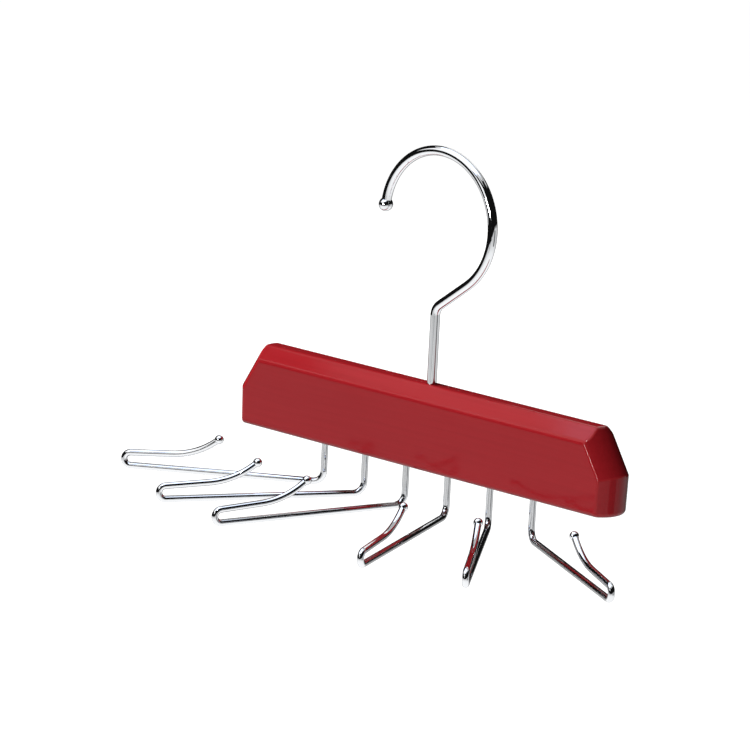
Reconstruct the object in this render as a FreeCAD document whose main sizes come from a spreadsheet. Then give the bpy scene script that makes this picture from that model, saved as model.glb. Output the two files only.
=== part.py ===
"""Tie hanger: a wooden bar on a swivelling wire hook, with six swivelling wire tie hooks under it.

Millimetres, +Z up, +X along the bar, -Y to the front. The origin is the rod seat: the point inside
the top hook's loop, right above the swivel axis, where a wardrobe rod carries the hanger.
"""
import FreeCAD, Part
import math
import os
import Sketcher
from FreeCAD import Placement, Rotation, Vector

TIE_HOOKS = 6
KEEPER_TEETH = 6
UP = Vector(0, 0, 1)

# Sketcher's own numbers: a line's or arc's start and end, a circle's centre, and the sketch's origin.
START, END, CENTRE = 1, 2, 3
ORIGIN = (-1, 1)

doc = FreeCAD.newDocument("tie_hanger")
sheet = doc.addObject("Spreadsheet::Sheet", "sizes")

# Driving dimensions: name, value, what it measures. Lengths in mm, angles in degrees.
DRIVING = [
    ("bar_length", "221.6", "wooden bar, from crown to crown of its rounded ends, along the underside"),
    ("bar_thickness", "20", "wooden bar, front to back"),
    ("bar_height", "37.5", "underside to ridge"),
    ("face_height", "31.4", "underside to the bevel's lower edge"),
    ("ridge_width", "7.2", "flat ridge between the two bevels"),
    ("end_crown", "5.2", "how far a rounded end stands out past the front face's end"),
    ("end_height", "16.4", "underside to where the cut corner starts, on the front face"),
    ("end_lean_angle", "2", "ends' lean outwards from upright, going up"),
    ("corner_inset", "9.3", "how far the cut corner comes in by the bevel's lower edge"),
    ("milled_round", "3", "rounding of the bar's long upper edges, part of its moulding"),
    ("edge_round", "2", "rounding of the bar's other edges"),
    ("cut_overrun", "5", "how far a cut runs past the wood"),
    ("tie_wire", "3", "tie hook wire, diameter"),
    ("tie_spacing", "25", "spacing of the tie hooks along the bar"),
    ("arm_drop", "20.1", "underside to the arm's centreline, at the leg"),
    ("leg_bend", "5", "bend between leg and arm, centreline radius"),
    ("arm_droop_angle", "1", "arm's fall from level"),
    ("arm_reach", "93.7", "leg's axis to the far side of the slot's bend, on the centreline"),
    ("slot_bend", "3", "bend at the slot's closed end, centreline radius"),
    ("return_rise_angle", "3.8", "return's climb from level"),
    ("return_length", "19.8", "straight part of the return"),
    ("flare_radius", "37", "flare up to the ball, centreline radius"),
    ("flare_turn_angle", "32.6", "flare's turn"),
    ("flare_tip", "2.8", "straight end of the flare, to the ball's middle"),
    ("tie_ball", "4.2", "tie hook's ball tip, diameter"),
    ("swing_1_angle", "210.3", "first tie hook's direction, from +X"),
    ("swing_2_angle", "237.2", "second tie hook's direction"),
    ("swing_3_angle", "250.8", "third tie hook's direction"),
    ("swing_4_angle", "289.5", "fourth tie hook's direction"),
    ("swing_5_angle", "305.9", "fifth tie hook's direction"),
    ("swing_6_angle", "332", "sixth tie hook's direction"),
    ("bush_outer", "7", "swivel bush, sleeve diameter"),
    ("bush_length", "11", "swivel bush with its flange"),
    ("bush_lead", "0.6", "swivel bush, chamfer at its inner end"),
    ("flange_outer", "9.6", "swivel bush, flange diameter"),
    ("flange_thick", "1", "swivel bush, flange thickness"),
    ("swivel_clearance", "0.05", "radial running clearance of a leg in its bush"),
    ("press_clearance", "0.02", "radial clearance of pieces pressed together"),
    ("keeper_outer", "6.2", "retaining washer, outer diameter"),
    ("keeper_thick", "0.6", "retaining washer, thickness"),
    ("tooth_slit", "0.5", "slit between the retaining washer's teeth, width"),
    ("tooth_length", "0.8", "slit between the retaining washer's teeth, depth"),
    ("leg_end", "1.4", "leg's end above its retaining washer"),
    ("bore_spare", "2", "room above the leg's end in the bar's bore"),
    ("hook_wire", "4.4", "top hook wire, diameter"),
    ("shank_rise", "30.9", "ridge to the top hook's first bend"),
    ("neck_bend", "6", "bend between shank and neck, centreline radius"),
    ("neck_lean_angle", "53.7", "neck's lean from upright"),
    ("neck_length", "18.7", "straight neck"),
    ("loop_radius", "31.5", "loop's centreline radius"),
    ("loop_sweep_angle", "228.2", "loop's turn, to the ball's middle"),
    ("hook_ball", "6.4", "top hook's ball tip, diameter"),
    ("hook_turn_angle", "0.5", "turn of the top hook's plane from the bar"),
    ("hook_clearance", "0.08", "radial running clearance of the shank in the wood and the washer"),
    ("recess_outer", "11", "recess for the hook's washer and head, diameter"),
    ("recess_depth", "4", "recess for the hook's washer and head, depth"),
    ("disc_outer", "10.2", "hook washer, outer diameter"),
    ("disc_thick", "1", "hook washer, thickness"),
    ("head_outer", "7.6", "peened head on the shank's lower end, diameter"),
    ("head_thick", "1.9", "peened head, thickness"),
    ("head_rim", "0.7", "peened head, height of its upright rim"),
]

# Sizes that follow from those, as the sheet's own formulas.
DERIVED = [
    ("end_half", "=bar_length / 2 - end_crown", "middle to the front face's end, at the underside"),
    ("corner_half", "=end_half + end_height * tan(end_lean_angle)", "middle to where the cut corner starts"),
    ("crown_radius", "=((bar_thickness / 2) ^ 2 + end_crown ^ 2) / (2 * end_crown)", "rounded end, radius"),
    ("corner_tilt_angle", "=atan(corner_inset / (face_height - end_height))", "cut corner's tilt"),
    ("leg_top", "=bush_length + keeper_thick + leg_end", "underside to the leg's end"),
    ("leg_corner", "=leg_bend * tan(45 - arm_droop_angle / 2)", "bend's start to the leg and arm's corner"),
    ("slot_out", "=arm_reach - slot_bend", "leg's axis to the slot bend's centre"),
    ("arm_line", "=slot_out / cos(arm_droop_angle) - slot_bend * tan(arm_droop_angle)", "corner to slot"),
    ("arm_run", "=arm_line - leg_corner", "straight arm"),
    ("head_top", "=recess_depth - disc_thick", "underside to the top of the peened head"),
    ("neck_foot", "=bar_height + shank_rise", "underside to the top hook's first bend"),
    ("bend_out", "=neck_bend * (1 - cos(neck_lean_angle))", "first bend's end, from the shank's axis"),
    ("bend_up", "=neck_foot + neck_bend * sin(neck_lean_angle)", "its height"),
    ("neck_out", "=bend_out + neck_length * sin(neck_lean_angle)", "neck's end, from the shank's axis"),
    ("neck_up", "=bend_up + neck_length * cos(neck_lean_angle)", "its height"),
    ("loop_out", "=neck_out - loop_radius * cos(neck_lean_angle)", "loop's centre, from the shank's axis"),
    ("loop_up", "=neck_up + loop_radius * sin(neck_lean_angle)", "its height"),
    ("loop_inside", "=loop_radius - hook_wire / 2", "loop's inner radius"),
    ("seat_height", "=loop_up + sqrt(loop_inside ^ 2 - loop_out ^ 2)", "underside to the rod seat"),
    ("dome_rise", "=head_thick - head_rim", "peened head, height of its dome"),
    ("dome_radius", "=((head_outer / 2) ^ 2 + dome_rise ^ 2) / (2 * dome_rise)", "peened head, dome radius"),
]

for row, (name, value, words) in enumerate(DRIVING + DERIVED, start=1):
    sheet.set(f"A{row}", words)
    sheet.set(f"B{row}", value)
    sheet.setAlias(f"B{row}", name)
doc.recompute()


def value(formula):
    """Number that a formula of the sheet gives now."""
    return float(sheet.evalExpression(formula))


def bind(item, **formulas):
    """Tie an object's properties to formulas of the sheet."""
    for name, formula in formulas.items():
        item.setExpression(name, formula)


def place(item, along, up, turn):
    """Put a finished piece at its place along the bar, at its height and turned about the vertical.

    The quarter turn only sets the axis, because a turn of 0 would lose it. The formula sets the angle.
    """
    item.Placement = Placement(Vector(), Rotation(UP, 90))
    item.setExpression("Placement.Base.x", along)
    item.setExpression("Placement.Base.z", up)
    item.setExpression("Placement.Rotation.Angle", f"({turn}) * 1 deg")


def origin_feature(body, role):
    """One of a body's own origin planes or axes."""
    return next(item for item in body.Origin.OriginFeatures if item.Role == role)


def new_sketch(body, name, plane):
    """An empty sketch on one of the body's origin planes."""
    sketch = body.newObject("Sketcher::SketchObject", name)
    sketch.AttachmentSupport = [(origin_feature(body, plane), "")]
    sketch.MapMode = "FlatFace"
    return sketch


def constrain(sketch, formula, *constraint):
    """Add a dimension to a sketch and tie it to a formula of the sheet."""
    unit = " * 1 deg" if constraint[0] == "Angle" else ""
    now = math.radians(value(formula)) if unit else value(formula)
    index = sketch.addConstraint(Sketcher.Constraint(*constraint, now))
    sketch.setExpression(f"Constraints[{index}]", f"({formula}){unit}")


def pin(sketch, piece, end, across, up):
    """Fix one end of a line or arc, measured from the sketch's origin."""
    constrain(sketch, across, "DistanceX", *ORIGIN, piece, end)
    constrain(sketch, up, "DistanceY", *ORIGIN, piece, end)


def arc_through(start, end, radius):
    """Arc under a half circle, counter-clockwise for a positive radius and clockwise for a negative one."""
    chord = end - start
    inward = Vector(-chord.y, chord.x, 0).normalize() * math.copysign(1, radius)
    centre = (start + end) / 2 + inward * math.sqrt(radius ** 2 - (chord.Length / 2) ** 2)
    low, high = (start, end) if radius > 0 else (end, start)
    angles = [math.atan2(point.y - centre.y, point.x - centre.x) for point in (low, high)]
    return Part.ArcOfCircle(Part.Circle(centre, UP, abs(radius)), *angles)


def outline(sketch, corners):
    """Closed outline through corners written as formulas. A third formula is the next side's radius."""
    points = [Vector(value(corner[0]), value(corner[1]), 0) for corner in corners]
    ends = []
    for index, corner in enumerate(corners):
        start = points[index]
        end = points[(index + 1) % len(points)]
        if len(corner) == 2:
            side = sketch.addGeometry(Part.LineSegment(start, end), False)
            ends.append((side, START, END))
            continue
        radius = value(corner[2])
        side = sketch.addGeometry(arc_through(start, end, radius), False)
        ends.append((side, START, END) if radius > 0 else (side, END, START))
        constrain(sketch, f"abs({corner[2]})", "Radius", side)
    for index, corner in enumerate(corners):
        side, first, last = ends[index]
        follower, follower_first, _ = ends[(index + 1) % len(ends)]
        sketch.addConstraint(Sketcher.Constraint("Coincident", side, last, follower, follower_first))
        pin(sketch, side, first, corner[0], corner[1])


def turned(body, name, corners):
    """Solid of revolution about the body's own vertical axis."""
    sketch = new_sketch(body, f"{name}_profile", "XZ_Plane")
    outline(sketch, corners)
    solid = body.newObject("PartDesign::Revolution", name)
    solid.Profile = sketch
    solid.ReferenceAxis = (sketch, ["V_Axis"])
    return solid


def drilled(body, name, along, corners):
    """Stepped hole up from the underside, turned about a vertical axis at a place along the bar."""
    sketch = new_sketch(body, f"{name}_profile", "XZ_Plane")
    sketch.setExpression("AttachmentOffset.Base.x", along)
    outline(sketch, corners)
    hole = body.newObject("PartDesign::Groove", name)
    hole.Profile = sketch
    hole.ReferenceAxis = (sketch, ["V_Axis"])
    return hole


def bent_wire(body, diameter, ball, start, heading, moves):
    """Round wire bent in the body's XZ plane, with a ball on its far end.

    It starts on the body's axis. A move is a straight's length, or a bend's radius and its turn to the
    left, where a minus before the radius turns right.
    """
    path = new_sketch(body, f"{body.Name}_path", "XZ_Plane")
    here = Vector(0, value(start), 0)
    facing = math.radians(heading)
    last = None
    for move in moves:
        ahead = Vector(math.cos(facing), math.sin(facing), 0)
        if len(move) == 1:
            there = here + ahead * value(move[0])
            piece = path.addGeometry(Part.LineSegment(here, there), False)
            first, end = START, END
            constrain(path, move[0], "Distance", piece)
        else:
            radius = value(move[0])
            centre = here + Vector(-ahead.y, ahead.x, 0) * radius
            turn = math.radians(value(move[1])) * math.copysign(1, radius)
            there = centre + Rotation(UP, math.degrees(turn)).multVec(here - centre)
            begin, finish = (here, there) if radius > 0 else (there, here)
            angles = [math.atan2(spot.y - centre.y, spot.x - centre.x) for spot in (begin, finish)]
            piece = path.addGeometry(Part.ArcOfCircle(Part.Circle(centre, UP, abs(radius)), *angles), False)
            first, end = (START, END) if radius > 0 else (END, START)
            constrain(path, f"abs({move[0]})", "Radius", piece)
            constrain(path, move[1], "Angle", piece)
            facing += turn
        if last is None:
            pin(path, piece, first, "0", start)
            path.addConstraint(Sketcher.Constraint("Vertical", piece))
        else:
            path.addConstraint(Sketcher.Constraint("Tangent", *last, piece, first))
        last = (piece, end)
        here = there

    section = new_sketch(body, f"{body.Name}_section", "XY_Plane")
    section.setExpression("AttachmentOffset.Base.z", start)
    ring = section.addGeometry(Part.Circle(Vector(), UP, value(diameter) / 2), False)
    section.addConstraint(Sketcher.Constraint("Coincident", ring, CENTRE, *ORIGIN))
    constrain(section, diameter, "Diameter", ring)

    wire = body.newObject("PartDesign::AdditivePipe", f"{body.Name}_wire")
    wire.Profile = section
    wire.Spine = (path, [])
    doc.recompute()

    # The ball's poles lie along the wire. At some turns a ball with upright poles is lost in the STEP file.
    tip = body.newObject("PartDesign::AdditiveSphere", f"{body.Name}_ball")
    tip.AttachmentSupport = [(path, f"Edge{len(moves)}"), (path, f"Vertex{len(moves) + 1}")]
    tip.MapMode = "NormalToEdge"
    bind(tip, Radius=f"{ball} / 2")


def crown_cut(body, name, out, up, inward, angle):
    """Cut along a rounded end, from a place on the front face, tilted inward or outward by an angle.

    Its sketch has the crown's arc, and lines well clear of the wood.
    """
    sketch = new_sketch(body, f"{name}_profile", "XY_Plane")
    side = "sizes.bar_thickness / 2"
    clear = f"{side} + sizes.cut_overrun"
    far = "sizes.bar_height"
    outline(sketch, [
        ("0", side, "-sizes.crown_radius"),
        ("0", f"-({side})"),
        ("0", f"-({clear})"),
        (far, f"-({clear})"),
        (far, clear),
        ("0", clear),
    ])
    hinge = Vector(0, -1, 0) if inward else Vector(0, 1, 0)
    sketch.AttachmentOffset = Placement(Vector(), Rotation(hinge, value(angle)))
    sketch.setExpression("AttachmentOffset.Base.x", out)
    sketch.setExpression("AttachmentOffset.Base.z", up)
    sketch.setExpression("AttachmentOffset.Rotation.Angle", angle)
    cut = body.newObject("PartDesign::Pocket", name)
    cut.Profile = sketch
    cut.SideType = "Symmetric"
    bind(cut, Length="2 * (sizes.bar_height + sizes.cut_overrun)")
    return cut


def wooden_bar():
    """Bar of wood: one moulded section, both ends and upper corners cut to the same rounded profile."""
    body = doc.addObject("PartDesign::Body", "wooden_bar")
    section = new_sketch(body, "bar_section", "YZ_Plane")
    side = "sizes.bar_thickness / 2"
    ridge = "sizes.ridge_width / 2"
    outline(section, [
        (f"-{side}", "0"),
        (side, "0"),
        (side, "sizes.face_height"),
        (ridge, "sizes.bar_height"),
        (f"-{ridge}", "sizes.bar_height"),
        (f"-{side}", "sizes.face_height"),
    ])
    stock = body.newObject("PartDesign::Pad", "bar_stock")
    stock.Profile = section
    stock.SideType = "Symmetric"
    bind(stock, Length="sizes.bar_length + 2 * sizes.cut_overrun")
    doc.recompute()

    upper_edges = []
    for index, edge in enumerate(stock.Shape.Edges, start=1):
        runs_along = edge.BoundBox.XLength > value("sizes.bar_thickness")
        if runs_along and edge.BoundBox.ZMin > value("sizes.end_height"):
            upper_edges.append(f"Edge{index}")
    moulding = body.newObject("PartDesign::Fillet", "moulding")
    moulding.Base = (stock, upper_edges)
    bind(moulding, Radius="sizes.milled_round")

    end_cut = crown_cut(body, "end_cut", "sizes.end_half", "0", False, "sizes.end_lean_angle")
    corner_cut = crown_cut(body, "corner_cut", "sizes.corner_half", "sizes.end_height", True,
                           "sizes.corner_tilt_angle")
    far_end = body.newObject("PartDesign::Mirrored", "far_end")
    far_end.Originals = [end_cut, corner_cut]
    far_end.MirrorPlane = (origin_feature(body, "YZ_Plane"), [""])
    body.Tip = far_end
    doc.recompute()

    softened = body.newObject("PartDesign::Fillet", "softened_edges")
    softened.Base = (far_end, [""])
    softened.UseAllEdges = True
    bind(softened, Radius="sizes.edge_round")
    doc.recompute()

    flange_side = "sizes.flange_outer / 2 + sizes.press_clearance"
    sleeve_side = "sizes.bush_outer / 2 + sizes.press_clearance"
    bore_end = "sizes.leg_top + sizes.bore_spare"
    tie_bore = drilled(body, "tie_bore", f"-{TIE_HOOKS - 1} / 2 * sizes.tie_spacing", [
        ("0", "-sizes.cut_overrun"),
        (flange_side, "-sizes.cut_overrun"),
        (flange_side, "sizes.flange_thick"),
        (sleeve_side, "sizes.flange_thick"),
        (sleeve_side, bore_end),
        ("0", bore_end),
    ])
    tie_bores = body.newObject("PartDesign::LinearPattern", "tie_bores")
    tie_bores.Originals = [tie_bore]
    tie_bores.Direction = (origin_feature(body, "X_Axis"), [""])
    tie_bores.Occurrences = TIE_HOOKS
    bind(tie_bores, Length=f"{TIE_HOOKS - 1} * sizes.tie_spacing")
    body.Tip = tie_bores

    shank_side = "sizes.hook_wire / 2 + sizes.hook_clearance"
    above = "sizes.bar_height + sizes.cut_overrun"
    drilled(body, "hook_bore", "0", [
        ("0", "-sizes.cut_overrun"),
        ("sizes.recess_outer / 2", "-sizes.cut_overrun"),
        ("sizes.recess_outer / 2", "sizes.recess_depth"),
        (shank_side, "sizes.recess_depth"),
        (shank_side, above),
        ("0", above),
    ])
    place(body, "0", "-sizes.seat_height", "0")
    return body


def top_hook():
    """Hook over the rod: one wire through the bar, with its lower end peened over the washer."""
    body = doc.addObject("PartDesign::Body", "top_hook")
    foot = "sizes.head_top - sizes.head_thick"
    bent_wire(body, "sizes.hook_wire", "sizes.hook_ball", foot, 90, [
        (f"sizes.neck_foot - ({foot})",),
        ("-sizes.neck_bend", "sizes.neck_lean_angle"),
        ("sizes.neck_length",),
        ("sizes.loop_radius", "sizes.loop_sweep_angle"),
    ])
    turned(body, "peened_head", [
        ("0", foot, "sizes.dome_radius"),
        ("sizes.head_outer / 2", "sizes.head_top - sizes.head_rim"),
        ("sizes.head_outer / 2", "sizes.head_top"),
        ("0", "sizes.head_top"),
    ])
    place(body, "0", "-sizes.seat_height", "sizes.hook_turn_angle")
    return body


def hook_washer():
    """Plain washer between the wood and the hook's peened head."""
    body = doc.addObject("PartDesign::Body", "hook_washer")
    inside = "sizes.hook_wire / 2 + sizes.hook_clearance"
    turned(body, "washer_ring", [
        (inside, "sizes.head_top"),
        ("sizes.disc_outer / 2", "sizes.head_top"),
        ("sizes.disc_outer / 2", "sizes.recess_depth"),
        (inside, "sizes.recess_depth"),
    ])
    place(body, "0", "-sizes.seat_height", "0")
    return body


def tie_hook(number, along):
    """Tie hook: leg, arm, tight bend, return and flared end, bent from one wire."""
    body = doc.addObject("PartDesign::Body", f"tie_hook_{number}")
    bent_wire(body, "sizes.tie_wire", "sizes.tie_ball", "sizes.leg_top", -90, [
        ("sizes.leg_top + sizes.arm_drop - sizes.leg_corner",),
        ("sizes.leg_bend", "90 - sizes.arm_droop_angle"),
        ("sizes.arm_run",),
        ("sizes.slot_bend", "180 + sizes.arm_droop_angle - sizes.return_rise_angle"),
        ("sizes.return_length",),
        ("-sizes.flare_radius", "sizes.flare_turn_angle"),
        ("sizes.flare_tip",),
    ])
    place(body, along, "-sizes.seat_height", f"sizes.swing_{number}_angle")
    return body


def swivel_bush(number, along):
    """Flanged bush pressed into the underside, in which a leg turns."""
    body = doc.addObject("PartDesign::Body", f"swivel_bush_{number}")
    inside = "sizes.tie_wire / 2 + sizes.swivel_clearance"
    outside = "sizes.bush_outer / 2"
    turned(body, f"bush_sleeve_{number}", [
        (inside, "0"),
        ("sizes.flange_outer / 2", "0"),
        ("sizes.flange_outer / 2", "sizes.flange_thick"),
        (outside, "sizes.flange_thick"),
        (outside, "sizes.bush_length - sizes.bush_lead"),
        (f"{outside} - sizes.bush_lead", "sizes.bush_length"),
        (inside, "sizes.bush_length"),
    ])
    place(body, along, "-sizes.seat_height", "0")
    return body


def retaining_washer(number, along):
    """Push-on washer whose teeth grip the top end of a leg."""
    body = doc.addObject("PartDesign::Body", f"retaining_washer_{number}")
    inside = "sizes.tie_wire / 2 + sizes.press_clearance"
    top = "sizes.bush_length + sizes.keeper_thick"
    turned(body, f"keeper_ring_{number}", [
        (inside, "sizes.bush_length"),
        ("sizes.keeper_outer / 2", "sizes.bush_length"),
        ("sizes.keeper_outer / 2", top),
        (inside, top),
    ])
    slit = new_sketch(body, f"slit_profile_{number}", "XY_Plane")
    reach = f"{inside} + sizes.tooth_length"
    outline(slit, [
        ("0", "-sizes.tooth_slit / 2"),
        (reach, "-sizes.tooth_slit / 2"),
        (reach, "sizes.tooth_slit / 2"),
        ("0", "sizes.tooth_slit / 2"),
    ])
    cut = body.newObject("PartDesign::Pocket", f"slit_{number}")
    cut.Profile = slit
    cut.SideType = "Symmetric"
    bind(cut, Length=f"2 * ({top} + sizes.cut_overrun)")
    slits = body.newObject("PartDesign::PolarPattern", f"slits_{number}")
    slits.Originals = [cut]
    slits.Axis = (origin_feature(body, "Z_Axis"), [""])
    slits.Angle = 360
    slits.Occurrences = KEEPER_TEETH
    body.Tip = slits
    place(body, along, "-sizes.seat_height", f"sizes.swing_{number}_angle")
    return body


pieces = [wooden_bar(), top_hook(), hook_washer()]
for number in range(1, TIE_HOOKS + 1):
    along = f"({number} - {TIE_HOOKS + 1} / 2) * sizes.tie_spacing"
    pieces.append(tie_hook(number, along))
    pieces.append(swivel_bush(number, along))
    pieces.append(retaining_washer(number, along))
doc.recompute()

# Nothing is written unless every object of the document is sound.
for item in doc.Objects:
    if "Invalid" in item.State or "Error" in item.State:
        raise RuntimeError(f"{item.Label} failed: {item.State}")
for piece in pieces:
    if piece.Shape.isNull() or not piece.Shape.isValid() or len(piece.Shape.Solids) != 1:
        raise RuntimeError(f"{piece.Label} is not one sound solid")

os.makedirs("parts", exist_ok=True)
for piece in pieces:
    piece.Shape.exportStep(f"parts/{piece.Label}.step")
    box = piece.Shape.optimalBoundingBox(False)
    print(f"{piece.Label}: {piece.Shape.Volume:.2f} mm3,",
          f"{box.XLength:.2f} x {box.YLength:.2f} x {box.ZLength:.2f} mm")
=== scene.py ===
"""Tie hanger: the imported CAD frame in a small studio, with the finish of each piece, in metres."""
import math

import bpy
from mathutils import Matrix, Vector

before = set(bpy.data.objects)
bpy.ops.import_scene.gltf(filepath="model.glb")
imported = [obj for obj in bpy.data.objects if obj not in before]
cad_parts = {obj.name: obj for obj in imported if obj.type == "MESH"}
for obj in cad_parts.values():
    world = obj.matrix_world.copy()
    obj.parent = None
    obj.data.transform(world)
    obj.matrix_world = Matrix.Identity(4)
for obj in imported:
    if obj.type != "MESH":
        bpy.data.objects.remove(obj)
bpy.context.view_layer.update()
scene = bpy.context.scene

# Viewpoint: a long lens from the front right, looking a little down on the bar, with a slight roll.
# It was fitted to the hanger's own corners and wires.
view_azimuth = math.radians(42.473)
view_elevation = math.radians(12.623)
view_roll = math.radians(2.901)
view_distance = 1.9346
view_across = -0.03
view_up = -0.0952
focal_length_mm = 213.04
sensor_width_mm = 36
back = Vector((math.sin(view_azimuth) * math.cos(view_elevation),
               -math.cos(view_azimuth) * math.cos(view_elevation),
               math.sin(view_elevation)))
level_right = Vector((math.cos(view_azimuth), math.sin(view_azimuth), 0))
right = Matrix.Rotation(view_roll, 3, back) @ level_right
up = back.cross(right)
camera = bpy.data.objects.new("camera", bpy.data.cameras.new("camera"))
camera.matrix_world = Matrix((right, up, back)).transposed().to_4x4()
camera.location = right * view_across + up * view_up + back * view_distance
camera.data.lens = focal_length_mm
camera.data.sensor_width = sensor_width_mm
scene.collection.objects.link(camera)
scene.camera = camera

# Studio: a table well under the hanger, seen as white, a large softbox high on the left, a fill lamp on
# the front right, another behind, and a small lamp above the bar. In mirrored rays the table shows a
# painted pool of light, brighter near the hanger and dimmer far off and behind it. Dark walls, a pale
# ceiling and a few cards, which only mirrored rays see, draw the chrome's lines and the lacquer's
# highlights.
scene.view_settings.view_transform = "Standard"


def join(tree, source, target):
    """Wire one node's output to another's input."""
    tree.links.new(source, target)


def calculate(tree, operation, first, second=0):
    """A Math node's result. Each side is a number or another node's output."""
    node = tree.nodes.new("ShaderNodeMath")
    node.operation = operation
    for socket, side in zip(node.inputs, (first, second)):
        if isinstance(side, (int, float)):
            socket.default_value = side
        else:
            join(tree, side, socket)
    return node.outputs[0]


def largest(tree, masks):
    """The largest of several values."""
    result = masks[0]
    for mask in masks[1:]:
        result = calculate(tree, "MAXIMUM", result, mask)
    return result


def spread(tree, factor, low, high, low_value=0, high_value=1):
    """Values from low_value to high_value as the factor goes from low to high, smoothly."""
    node = tree.nodes.new("ShaderNodeMapRange")
    node.interpolation_type = "SMOOTHSTEP"
    limits = {"From Min": low, "From Max": high, "To Min": low_value, "To Max": high_value}
    for name, limit in limits.items():
        node.inputs[name].default_value = limit
    join(tree, factor, node.inputs["Value"])
    return node.outputs["Result"]


def vector_step(tree, operation, vector, other=(0, 0, 0)):
    """A Vector Math node's result, from another node's vector and a fixed one."""
    node = tree.nodes.new("ShaderNodeVectorMath")
    node.operation = operation
    node.inputs[1].default_value = other
    join(tree, vector, node.inputs[0])
    return node.outputs["Value" if operation in ("LENGTH", "DOT_PRODUCT") else "Vector"]


def towards(tree, vector, direction):
    """How far a vector reaches in a direction. For a vector of length 1 this is the cosine."""
    return vector_step(tree, "DOT_PRODUCT", vector, Vector(direction).normalized())


def rays(tree, *kinds):
    """1 for rays of any of these kinds, and 0 for the others."""
    path = tree.nodes.new("ShaderNodeLightPath")
    return largest(tree, [path.outputs[f"Is {kind} Ray"] for kind in kinds])


bright_side = (0.75, -0.65, -0.1)
dim_level = 0.02
bright_level = 0.1
room = bpy.data.worlds.new("room")
room.use_nodes = True
scene.world = room
tree = room.node_tree
tree.nodes.clear()
look = tree.nodes.new("ShaderNodeTexCoord").outputs["Generated"]
soft_level = spread(tree, towards(tree, look, bright_side), -0.3, 1, dim_level, bright_level)
seen = rays(tree, "Camera", "Transmission", "Glossy")
background = tree.nodes.new("ShaderNodeBackground")
background.inputs["Color"].default_value = (1, 1, 1, 1)
join(tree, calculate(tree, "MAXIMUM", soft_level, seen), background.inputs["Strength"])
output = tree.nodes.new("ShaderNodeOutputWorld")
join(tree, background.outputs[0], output.inputs["Surface"])

table_low = -0.5
table_reach = 6
table_tone = (0.18, 0.18, 0.18, 1)
seen_near = 0.84
mirrored_near = 1.3
mirrored_far = 0.72
mirrored_behind = 0.22
table_mesh = bpy.data.meshes.new("table_top")
table_mesh.from_pydata([(-table_reach, -table_reach, table_low), (table_reach, -table_reach, table_low),
                        (table_reach, table_reach, table_low), (-table_reach, table_reach, table_low)],
                       [], [(0, 1, 2, 3)])
table_top = bpy.data.objects.new("table_top", table_mesh)
scene.collection.objects.link(table_top)
table_white = bpy.data.materials.new("table_white")
table_white.use_nodes = True
tree = table_white.node_tree
tree.nodes.clear()
geometry = tree.nodes.new("ShaderNodeNewGeometry")
matt = tree.nodes.new("ShaderNodeBsdfDiffuse")
matt.inputs["Color"].default_value = table_tone
away = vector_step(tree, "LENGTH", geometry.outputs["Position"])
behind = towards(tree, geometry.outputs["Position"], (-back.x, -back.y, 0))
behind = calculate(tree, "DIVIDE", behind, away)
# Painted pool of light: in mirrored rays the table glows brighter near the hanger and dimmer far off
# and behind it.
painted_pool_glow = calculate(tree, "MULTIPLY", spread(tree, away, 0.6, 1.6, mirrored_near, mirrored_far),
                          spread(tree, behind, 0.3, 0.75, 1, mirrored_behind))
painted_pool_glow = calculate(tree, "MULTIPLY", painted_pool_glow, rays(tree, "Glossy"))
plain_glow = calculate(tree, "MULTIPLY", rays(tree, "Camera", "Transmission"),
                       spread(tree, away, 0.5, 1.5, seen_near, 1))
glow = tree.nodes.new("ShaderNodeEmission")
join(tree, calculate(tree, "MAXIMUM", painted_pool_glow, plain_glow), glow.inputs["Strength"])
top = tree.nodes.new("ShaderNodeAddShader")
join(tree, matt.outputs[0], top.inputs[0])
join(tree, glow.outputs[0], top.inputs[1])
from_below = tree.nodes.new("ShaderNodeBsdfTransparent")
sides = tree.nodes.new("ShaderNodeMixShader")
join(tree, geometry.outputs["Backfacing"], sides.inputs["Fac"])
join(tree, top.outputs[0], sides.inputs[1])
join(tree, from_below.outputs[0], sides.inputs[2])
output = tree.nodes.new("ShaderNodeOutputMaterial")
join(tree, sides.outputs[0], output.inputs["Surface"])
table_mesh.materials.append(table_white)


def lamp(name, direction, distance, size, brightness, mirrored=False):
    """Area lamp aimed at the rod seat. Brightness is its power per square metre, over pi."""
    width, height = size
    light = bpy.data.lights.new(name, "AREA")
    light.shape = "RECTANGLE"
    light.size = width
    light.size_y = height
    light.energy = brightness * math.pi * width * height
    holder = bpy.data.objects.new(name, light)
    holder.location = Vector(direction).normalized() * distance
    holder.rotation_mode = "QUATERNION"
    holder.rotation_quaternion = Vector(direction).to_track_quat("Z", "Y")
    holder.visible_camera = False
    holder.visible_glossy = mirrored
    scene.collection.objects.link(holder)


lamp("softbox", direction=(-0.8, -0.28, 0.62), distance=2.5, size=(1.4, 1.8), brightness=9.5)
lamp("fill_lamp", direction=(0.53, -0.84, -0.04), distance=2.0, size=(0.8, 0.5), brightness=11.7)
lamp("back_lamp", direction=(-0.75, 0.65, 0.12), distance=2.5, size=(1.4, 1.2), brightness=7.5)
lamp("top_lamp", direction=(0.044, -0.392, 0.416), distance=0.573, size=(0.04, 0.04), brightness=70,
     mirrored=True)


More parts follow.
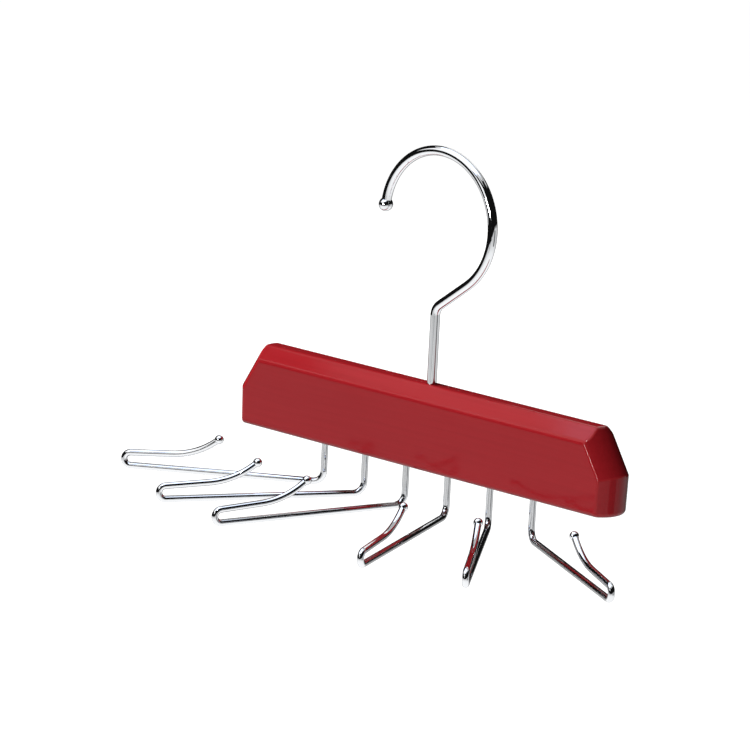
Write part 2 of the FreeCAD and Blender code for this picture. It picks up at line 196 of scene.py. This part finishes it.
def card(name, corners, faces, level, tint=(1, 1, 1, 1)):
    """Studio card that only mirrored rays see, at a level where 1 is plain white."""
    mesh = bpy.data.meshes.new(name)
    mesh.from_pydata(corners, [], faces)
    panel = bpy.data.objects.new(name, mesh)
    panel.visible_camera = False
    panel.visible_diffuse = False
    panel.visible_transmission = False
    panel.visible_shadow = False
    scene.collection.objects.link(panel)
    finish = bpy.data.materials.new(name)
    finish.use_nodes = True
    finish.node_tree.nodes.clear()
    face = finish.node_tree.nodes.new("ShaderNodeEmission")
    face.inputs["Color"].default_value = tint
    face.inputs["Strength"].default_value = level
    end = finish.node_tree.nodes.new("ShaderNodeOutputMaterial")
    join(finish.node_tree, face.outputs[0], end.inputs["Surface"])
    mesh.materials.append(finish)


def curved_card(name, bearings, radius, heights, level, climb=0):
    """Card bent round the swivel axis, between two bearings in degrees to the right of the camera
    and two heights. Its upper edge may climb on the way."""
    start, stop = bearings
    low, high = heights
    degrees_per_face = 5
    steps = max(1, round((stop - start) / degrees_per_face))
    corners = []
    for index in range(steps + 1):
        bearing = math.radians(start + (stop - start) * index / steps - 90) + view_azimuth
        across, along = radius * math.cos(bearing), radius * math.sin(bearing)
        corners += [(across, along, low), (across, along, high + climb * index / steps)]
    faces = [(2 * index, 2 * index + 1, 2 * index + 3, 2 * index + 2) for index in range(steps)]
    card(name, corners, faces, level)


ceiling_height = 0.6
near_ceiling = [(-0.5, -0.75), (0.12, -0.75), (0.3, 0.2), (-0.5, 0.2)]
far_ceiling = [(-0.5, 0.2), (0.3, 0.2), (0.6, 1.0), (-0.5, 1.0)]
cool_white = (0.88, 1, 1.25, 1)
black_level = 0.008
screen_level = 1.55
card("ceiling", [(across, along, ceiling_height) for across, along in near_ceiling],
     [(0, 1, 2, 3)], level=2.3, tint=cool_white)
card("far_ceiling", [(across, along, ceiling_height) for across, along in far_ceiling],
     [(0, 1, 2, 3)], level=0.7)
curved_card("dark_walls", bearings=(-180, 180), radius=1.6, heights=(-0.4, 1.5), level=black_level)
curved_card("tall_wall", bearings=(5, 85), radius=1.6, heights=(1.5, 2.6), level=black_level)
curved_card("right_wall", bearings=(-10, 66), radius=1.5, heights=(-0.48, -0.42), level=0.85,
            climb=0.42)
curved_card("soft_screen", bearings=(-105, -50), radius=0.8, heights=(0.23, 0.95), level=screen_level)
curved_card("side_screen", bearings=(-58, -32), radius=0.95, heights=(-0.05, 0.4), level=screen_level)
curved_card("right_screen", bearings=(66, 120), radius=1.5, heights=(-0.48, -0.1), level=0.9)
curved_card("far_screen", bearings=(145, 180), radius=0.6, heights=(0.15, 0.5), level=screen_level)
curved_card("edge_strip", bearings=(-52, -32), radius=0.94, heights=(-0.02, 0.058), level=50)
curved_card("black_flag", bearings=(-90, -8), radius=0.38, heights=(-0.14, -0.07), level=black_level)
curved_card("right_stand", bearings=(40, 66), radius=1.0, heights=(-0.5, -0.12), level=0.2)
curved_card("left_stand", bearings=(-27, -22), radius=1.0, heights=(-0.5, -0.12), level=0.05)

# Wooden bar: one length of hardwood, moulded, its ends and upper corners cut to a rounded profile,
# sanded, stained red, and sprayed with satin lacquer. The stain is darker on the end grain.
bevel_normal = (0, 0.69, 0.724)
end_lean = math.radians(2)
corner_tilt = math.radians(31.8)
pith = (0, 0.05, -0.33)
ring_spacing = 0.0034
ring_wander = 5
ring_stretch = (0.03, 1, 1)
red_stain = (0.45, 0.0165, 0.023, 1)
dark_stain = (0.36, 0.0115, 0.017, 1)
worn_stain = (0.52, 0.026, 0.031, 1)
lacquer_roughness = 0.06
lacquer_shine = 0.18
lacquer_relief = 0.00002


def noise(tree, place, scale, detail, stretch=(1, 1, 1)):
    """Noise at a scale per metre, its place first stretched along each axis."""
    node = tree.nodes.new("ShaderNodeTexNoise")
    node.inputs["Scale"].default_value = scale
    node.inputs["Detail"].default_value = detail
    join(tree, vector_step(tree, "MULTIPLY", place, stretch), node.inputs["Vector"])
    return node.outputs["Fac"]


def blend(tree, factor, first, second):
    """Colour mix. The first colour is a plain one or another node's output."""
    node = tree.nodes.new("ShaderNodeMix")
    node.data_type = "RGBA"
    join(tree, factor, node.inputs["Factor"])
    if isinstance(first, tuple):
        node.inputs["A"].default_value = first
    else:
        join(tree, first, node.inputs["A"])
    node.inputs["B"].default_value = second
    return node.outputs["Result"]


def built_up(tree, base, *layers):
    """A base value, plus each layer's mask times its amount."""
    total = base
    for mask, amount in layers:
        total = calculate(tree, "ADD", total, calculate(tree, "MULTIPLY", mask, amount))
    return total


def parts(tree, vector):
    """A vector's X, Y and Z."""
    node = tree.nodes.new("ShaderNodeSeparateXYZ")
    join(tree, vector, node.inputs[0])
    return node.outputs


def relief(tree, height, depth):
    """Bump of a depth in metres, from a height between 0 and 1."""
    node = tree.nodes.new("ShaderNodeBump")
    node.inputs["Distance"].default_value = depth
    join(tree, height, node.inputs["Height"])
    return node.outputs["Normal"]


def new_finish(name):
    """A new material, with its node tree, its shader and the coordinates on the piece."""
    finish = bpy.data.materials.new(name)
    finish.use_nodes = True
    nodes = finish.node_tree.nodes
    spot = nodes.new("ShaderNodeTexCoord").outputs
    return finish, finish.node_tree, nodes["Principled BSDF"], spot


scratch_turns = ((0.3, 0.5, 1.1), (1.2, 0.2, 2.3))
scratch_stretch = (0.04, 1, 1)
middle_noise = 0.5
handling = bpy.data.node_groups.new("handling_marks", "ShaderNodeTree")
group_sockets = {"INPUT": ("Smudge Scale", "Scratch Scale"), "OUTPUT": ("Smudges", "Scratches")}
for direction, names in group_sockets.items():
    for name in names:
        handling.interface.new_socket(name, in_out=direction, socket_type="NodeSocketFloat")
given = handling.nodes.new("NodeGroupInput")
made = handling.nodes.new("NodeGroupOutput")
place = handling.nodes.new("ShaderNodeTexCoord").outputs["Object"]
smudge = handling.nodes.new("ShaderNodeTexNoise")
smudge.inputs["Detail"].default_value = 4
smudge.inputs["Distortion"].default_value = 0.6
join(handling, place, smudge.inputs["Vector"])
join(handling, given.outputs["Smudge Scale"], smudge.inputs["Scale"])
join(handling, spread(handling, smudge.outputs["Fac"], 0.42, 0.68), made.inputs["Smudges"])
lines = []
for turn in scratch_turns:
    tilt = handling.nodes.new("ShaderNodeVectorRotate")
    tilt.rotation_type = "EULER_XYZ"
    tilt.inputs["Rotation"].default_value = turn
    join(handling, place, tilt.inputs["Vector"])
    line = handling.nodes.new("ShaderNodeTexNoise")
    line.inputs["Detail"].default_value = 1
    pulled = vector_step(handling, "MULTIPLY", tilt.outputs["Vector"], scratch_stretch)
    join(handling, pulled, line.inputs["Vector"])
    join(handling, given.outputs["Scratch Scale"], line.inputs["Scale"])
    off = calculate(handling, "SUBTRACT", line.outputs["Fac"], middle_noise)
    lines.append(spread(handling, calculate(handling, "ABSOLUTE", off), 0.002, 0.012, 1, 0))
join(handling, largest(handling, lines), made.inputs["Scratches"])


def handled(tree, smudge_scale, scratch_scale):
    """The handling marks' two masks, at a scale per metre for each."""
    node = tree.nodes.new("ShaderNodeGroup")
    node.node_tree = handling
    node.inputs["Smudge Scale"].default_value = smudge_scale
    node.inputs["Scratch Scale"].default_value = scratch_scale
    return node.outputs["Smudges"], node.outputs["Scratches"]


lacquered_wood, tree, wood, spot = new_finish("lacquered_wood")
place = spot["Object"]
drift = noise(tree, place, scale=9, detail=2, stretch=(0.5, 1, 1))
fibre = noise(tree, place, scale=700, detail=4, stretch=(0.02, 1, 1))
pore = noise(tree, place, scale=1500, detail=2, stretch=(0.03, 1, 1))
blotch = noise(tree, place, scale=26, detail=3, stretch=(0.35, 1, 1))
peel = noise(tree, place, scale=420, detail=2)
from_pith = vector_step(tree, "SUBTRACT", place, pith)
ring_radius = vector_step(tree, "LENGTH", vector_step(tree, "MULTIPLY", from_pith, ring_stretch))
rings = built_up(tree, calculate(tree, "MULTIPLY", ring_radius, 1 / ring_spacing), (drift, ring_wander))
late_wood = spread(tree, calculate(tree, "FRACT", rings), 0.35, 0.95)
facing = vector_step(tree, "ABSOLUTE", spot["Normal"])
side = parts(tree, facing)
end_grain = spread(tree, side["X"], 0.4, 0.8)
flats = [spread(tree, side["Y"], 0.97, 0.995), spread(tree, side["Z"], 0.97, 0.995),
         spread(tree, towards(tree, facing, bevel_normal), 0.975, 0.996)]
for lean in (end_lean, corner_tilt):
    off = towards(tree, facing, (math.sin(lean), 0, -math.cos(lean)))
    level = spread(tree, calculate(tree, "ABSOLUTE", off), 0.03, 0.12, 1, 0)
    flats.append(calculate(tree, "MINIMUM", level, spread(tree, side["X"], 0.5, 0.6)))
edge = calculate(tree, "SUBTRACT", 1, largest(tree, flats))
smudges, scratches = handled(tree, smudge_scale=38, scratch_scale=260)
grain = built_up(tree, 0, (late_wood, 0.1), (spread(tree, fibre, 0.35, 0.7), 0.2),
                 (spread(tree, blotch, 0.35, 0.7), 0.25), (end_grain, 0.12))
stain = blend(tree, calculate(tree, "MINIMUM", grain, 1), red_stain, dark_stain)
worn = calculate(tree, "MULTIPLY", edge, spread(tree, side["X"], 0.05, 0.3, 0.1, 0.6))
join(tree, blend(tree, worn, stain, worn_stain), wood.inputs["Base Color"])
roughness = built_up(tree, lacquer_roughness, (smudges, 0.04), (scratches, 0.05), (edge, 0.02))
join(tree, roughness, wood.inputs["Roughness"])
skin = built_up(tree, 0, (peel, 0.5), (spread(tree, pore, 0.58, 0.72), -0.3))
join(tree, relief(tree, skin, lacquer_relief), wood.inputs["Normal"])
wood.inputs["Specular IOR Level"].default_value = lacquer_shine
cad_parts["wooden_bar"].material_slots[0].material = lacquered_wood

# Top hook: one hard-drawn steel wire with a ball formed on its tip, bent to shape, polished, and
# plated with nickel and bright chrome. It turns in the bar, and its foot is peened over the washer.
chrome_tone = (0.64, 0.65, 0.665, 1)
dull_chrome = (0.59, 0.6, 0.61, 1)
chrome_roughness = 0.02
chrome_relief = 0.000001
bright_chrome, tree, plate, spot = new_finish("bright_chrome")
place = spot["Object"]
smudges, scratches = handled(tree, smudge_scale=120, scratch_scale=900)
film = noise(tree, place, scale=60, detail=3)
ripple = noise(tree, place, scale=150, detail=1)
tone = calculate(tree, "MULTIPLY", spread(tree, film, 0.4, 0.7), 0.5)
join(tree, blend(tree, tone, chrome_tone, dull_chrome), plate.inputs["Base Color"])
roughness = built_up(tree, chrome_roughness, (smudges, 0.015), (scratches, 0.025))
join(tree, roughness, plate.inputs["Roughness"])
join(tree, relief(tree, ripple, chrome_relief), plate.inputs["Normal"])
plate.inputs["Metallic"].default_value = 1.0
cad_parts["top_hook"].material_slots[0].material = bright_chrome

# Hook washer: stamped from sheet steel and zinc plated, in the recess of the bar's underside. It
# carries the bar on the hook's peened foot.
zinc_tone = (0.56, 0.57, 0.59, 1)
dull_zinc = (0.4, 0.41, 0.42, 1)
zinc_roughness = 0.28
zinc_relief = 0.000006
zinc_plate, tree, steel, spot = new_finish("zinc_plate")
place = spot["Object"]
smudges, scratches = handled(tree, smudge_scale=500, scratch_scale=1800)
pitting = noise(tree, place, scale=4000, detail=2)
spangle = tree.nodes.new("ShaderNodeTexVoronoi")
spangle.inputs["Scale"].default_value = 1600
join(tree, place, spangle.inputs["Vector"])
patch = parts(tree, spangle.outputs["Color"])["X"]
dulled = built_up(tree, 0, (patch, 0.4), (smudges, 0.5))
join(tree, blend(tree, dulled, zinc_tone, dull_zinc), steel.inputs["Base Color"])
roughness = built_up(tree, zinc_roughness, (dulled, 0.18), (scratches, 0.1))
join(tree, roughness, steel.inputs["Roughness"])
join(tree, relief(tree, pitting, zinc_relief), steel.inputs["Normal"])
steel.inputs["Metallic"].default_value = 1.0
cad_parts["hook_washer"].material_slots[0].material = zinc_plate

# Swivel bushes: flanged sleeves moulded from natural nylon, pressed into the bar's underside, one for
# each tie hook's leg to turn in. Their flanges are all that shows.
tie_hooks = range(1, 7)
nylon_tone = (0.74, 0.71, 0.63, 1)
shaded_nylon = (0.62, 0.58, 0.49, 1)
nylon_roughness = 0.4
nylon_relief = 0.00001
natural_nylon, tree, nylon, spot = new_finish("natural_nylon")
place = spot["Object"]
smudges, scratches = handled(tree, smudge_scale=300, scratch_scale=1500)
flow = noise(tree, place, scale=260, detail=3, stretch=(1, 1, 0.3))
mould_texture = noise(tree, place, scale=5000, detail=2)
clouded = built_up(tree, 0, (spread(tree, flow, 0.35, 0.7), 0.4), (smudges, 0.35))
join(tree, blend(tree, clouded, nylon_tone, shaded_nylon), nylon.inputs["Base Color"])
roughness = built_up(tree, nylon_roughness, (smudges, 0.12), (scratches, 0.1))
join(tree, roughness, nylon.inputs["Roughness"])
join(tree, relief(tree, mould_texture, nylon_relief), nylon.inputs["Normal"])
for number in tie_hooks:
    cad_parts[f"swivel_bush_{number}"].material_slots[0].material = natural_nylon

# Tie hooks: six like wires of hard-drawn steel, each bent to a leg, an arm, a narrow slot and a flared
# return with a ball tip, then polished and chromed as the top hook is. Each leg turns in its bush.
for number in tie_hooks:
    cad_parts[f"tie_hook_{number}"].material_slots[0].material = bright_chrome

# Retaining washers: push-on spring washers, stamped and zinc plated, whose teeth grip the top of each
# leg above its bush and keep it from dropping out.
for number in tie_hooks:
    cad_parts[f"retaining_washer_{number}"].material_slots[0].material = zinc_plate
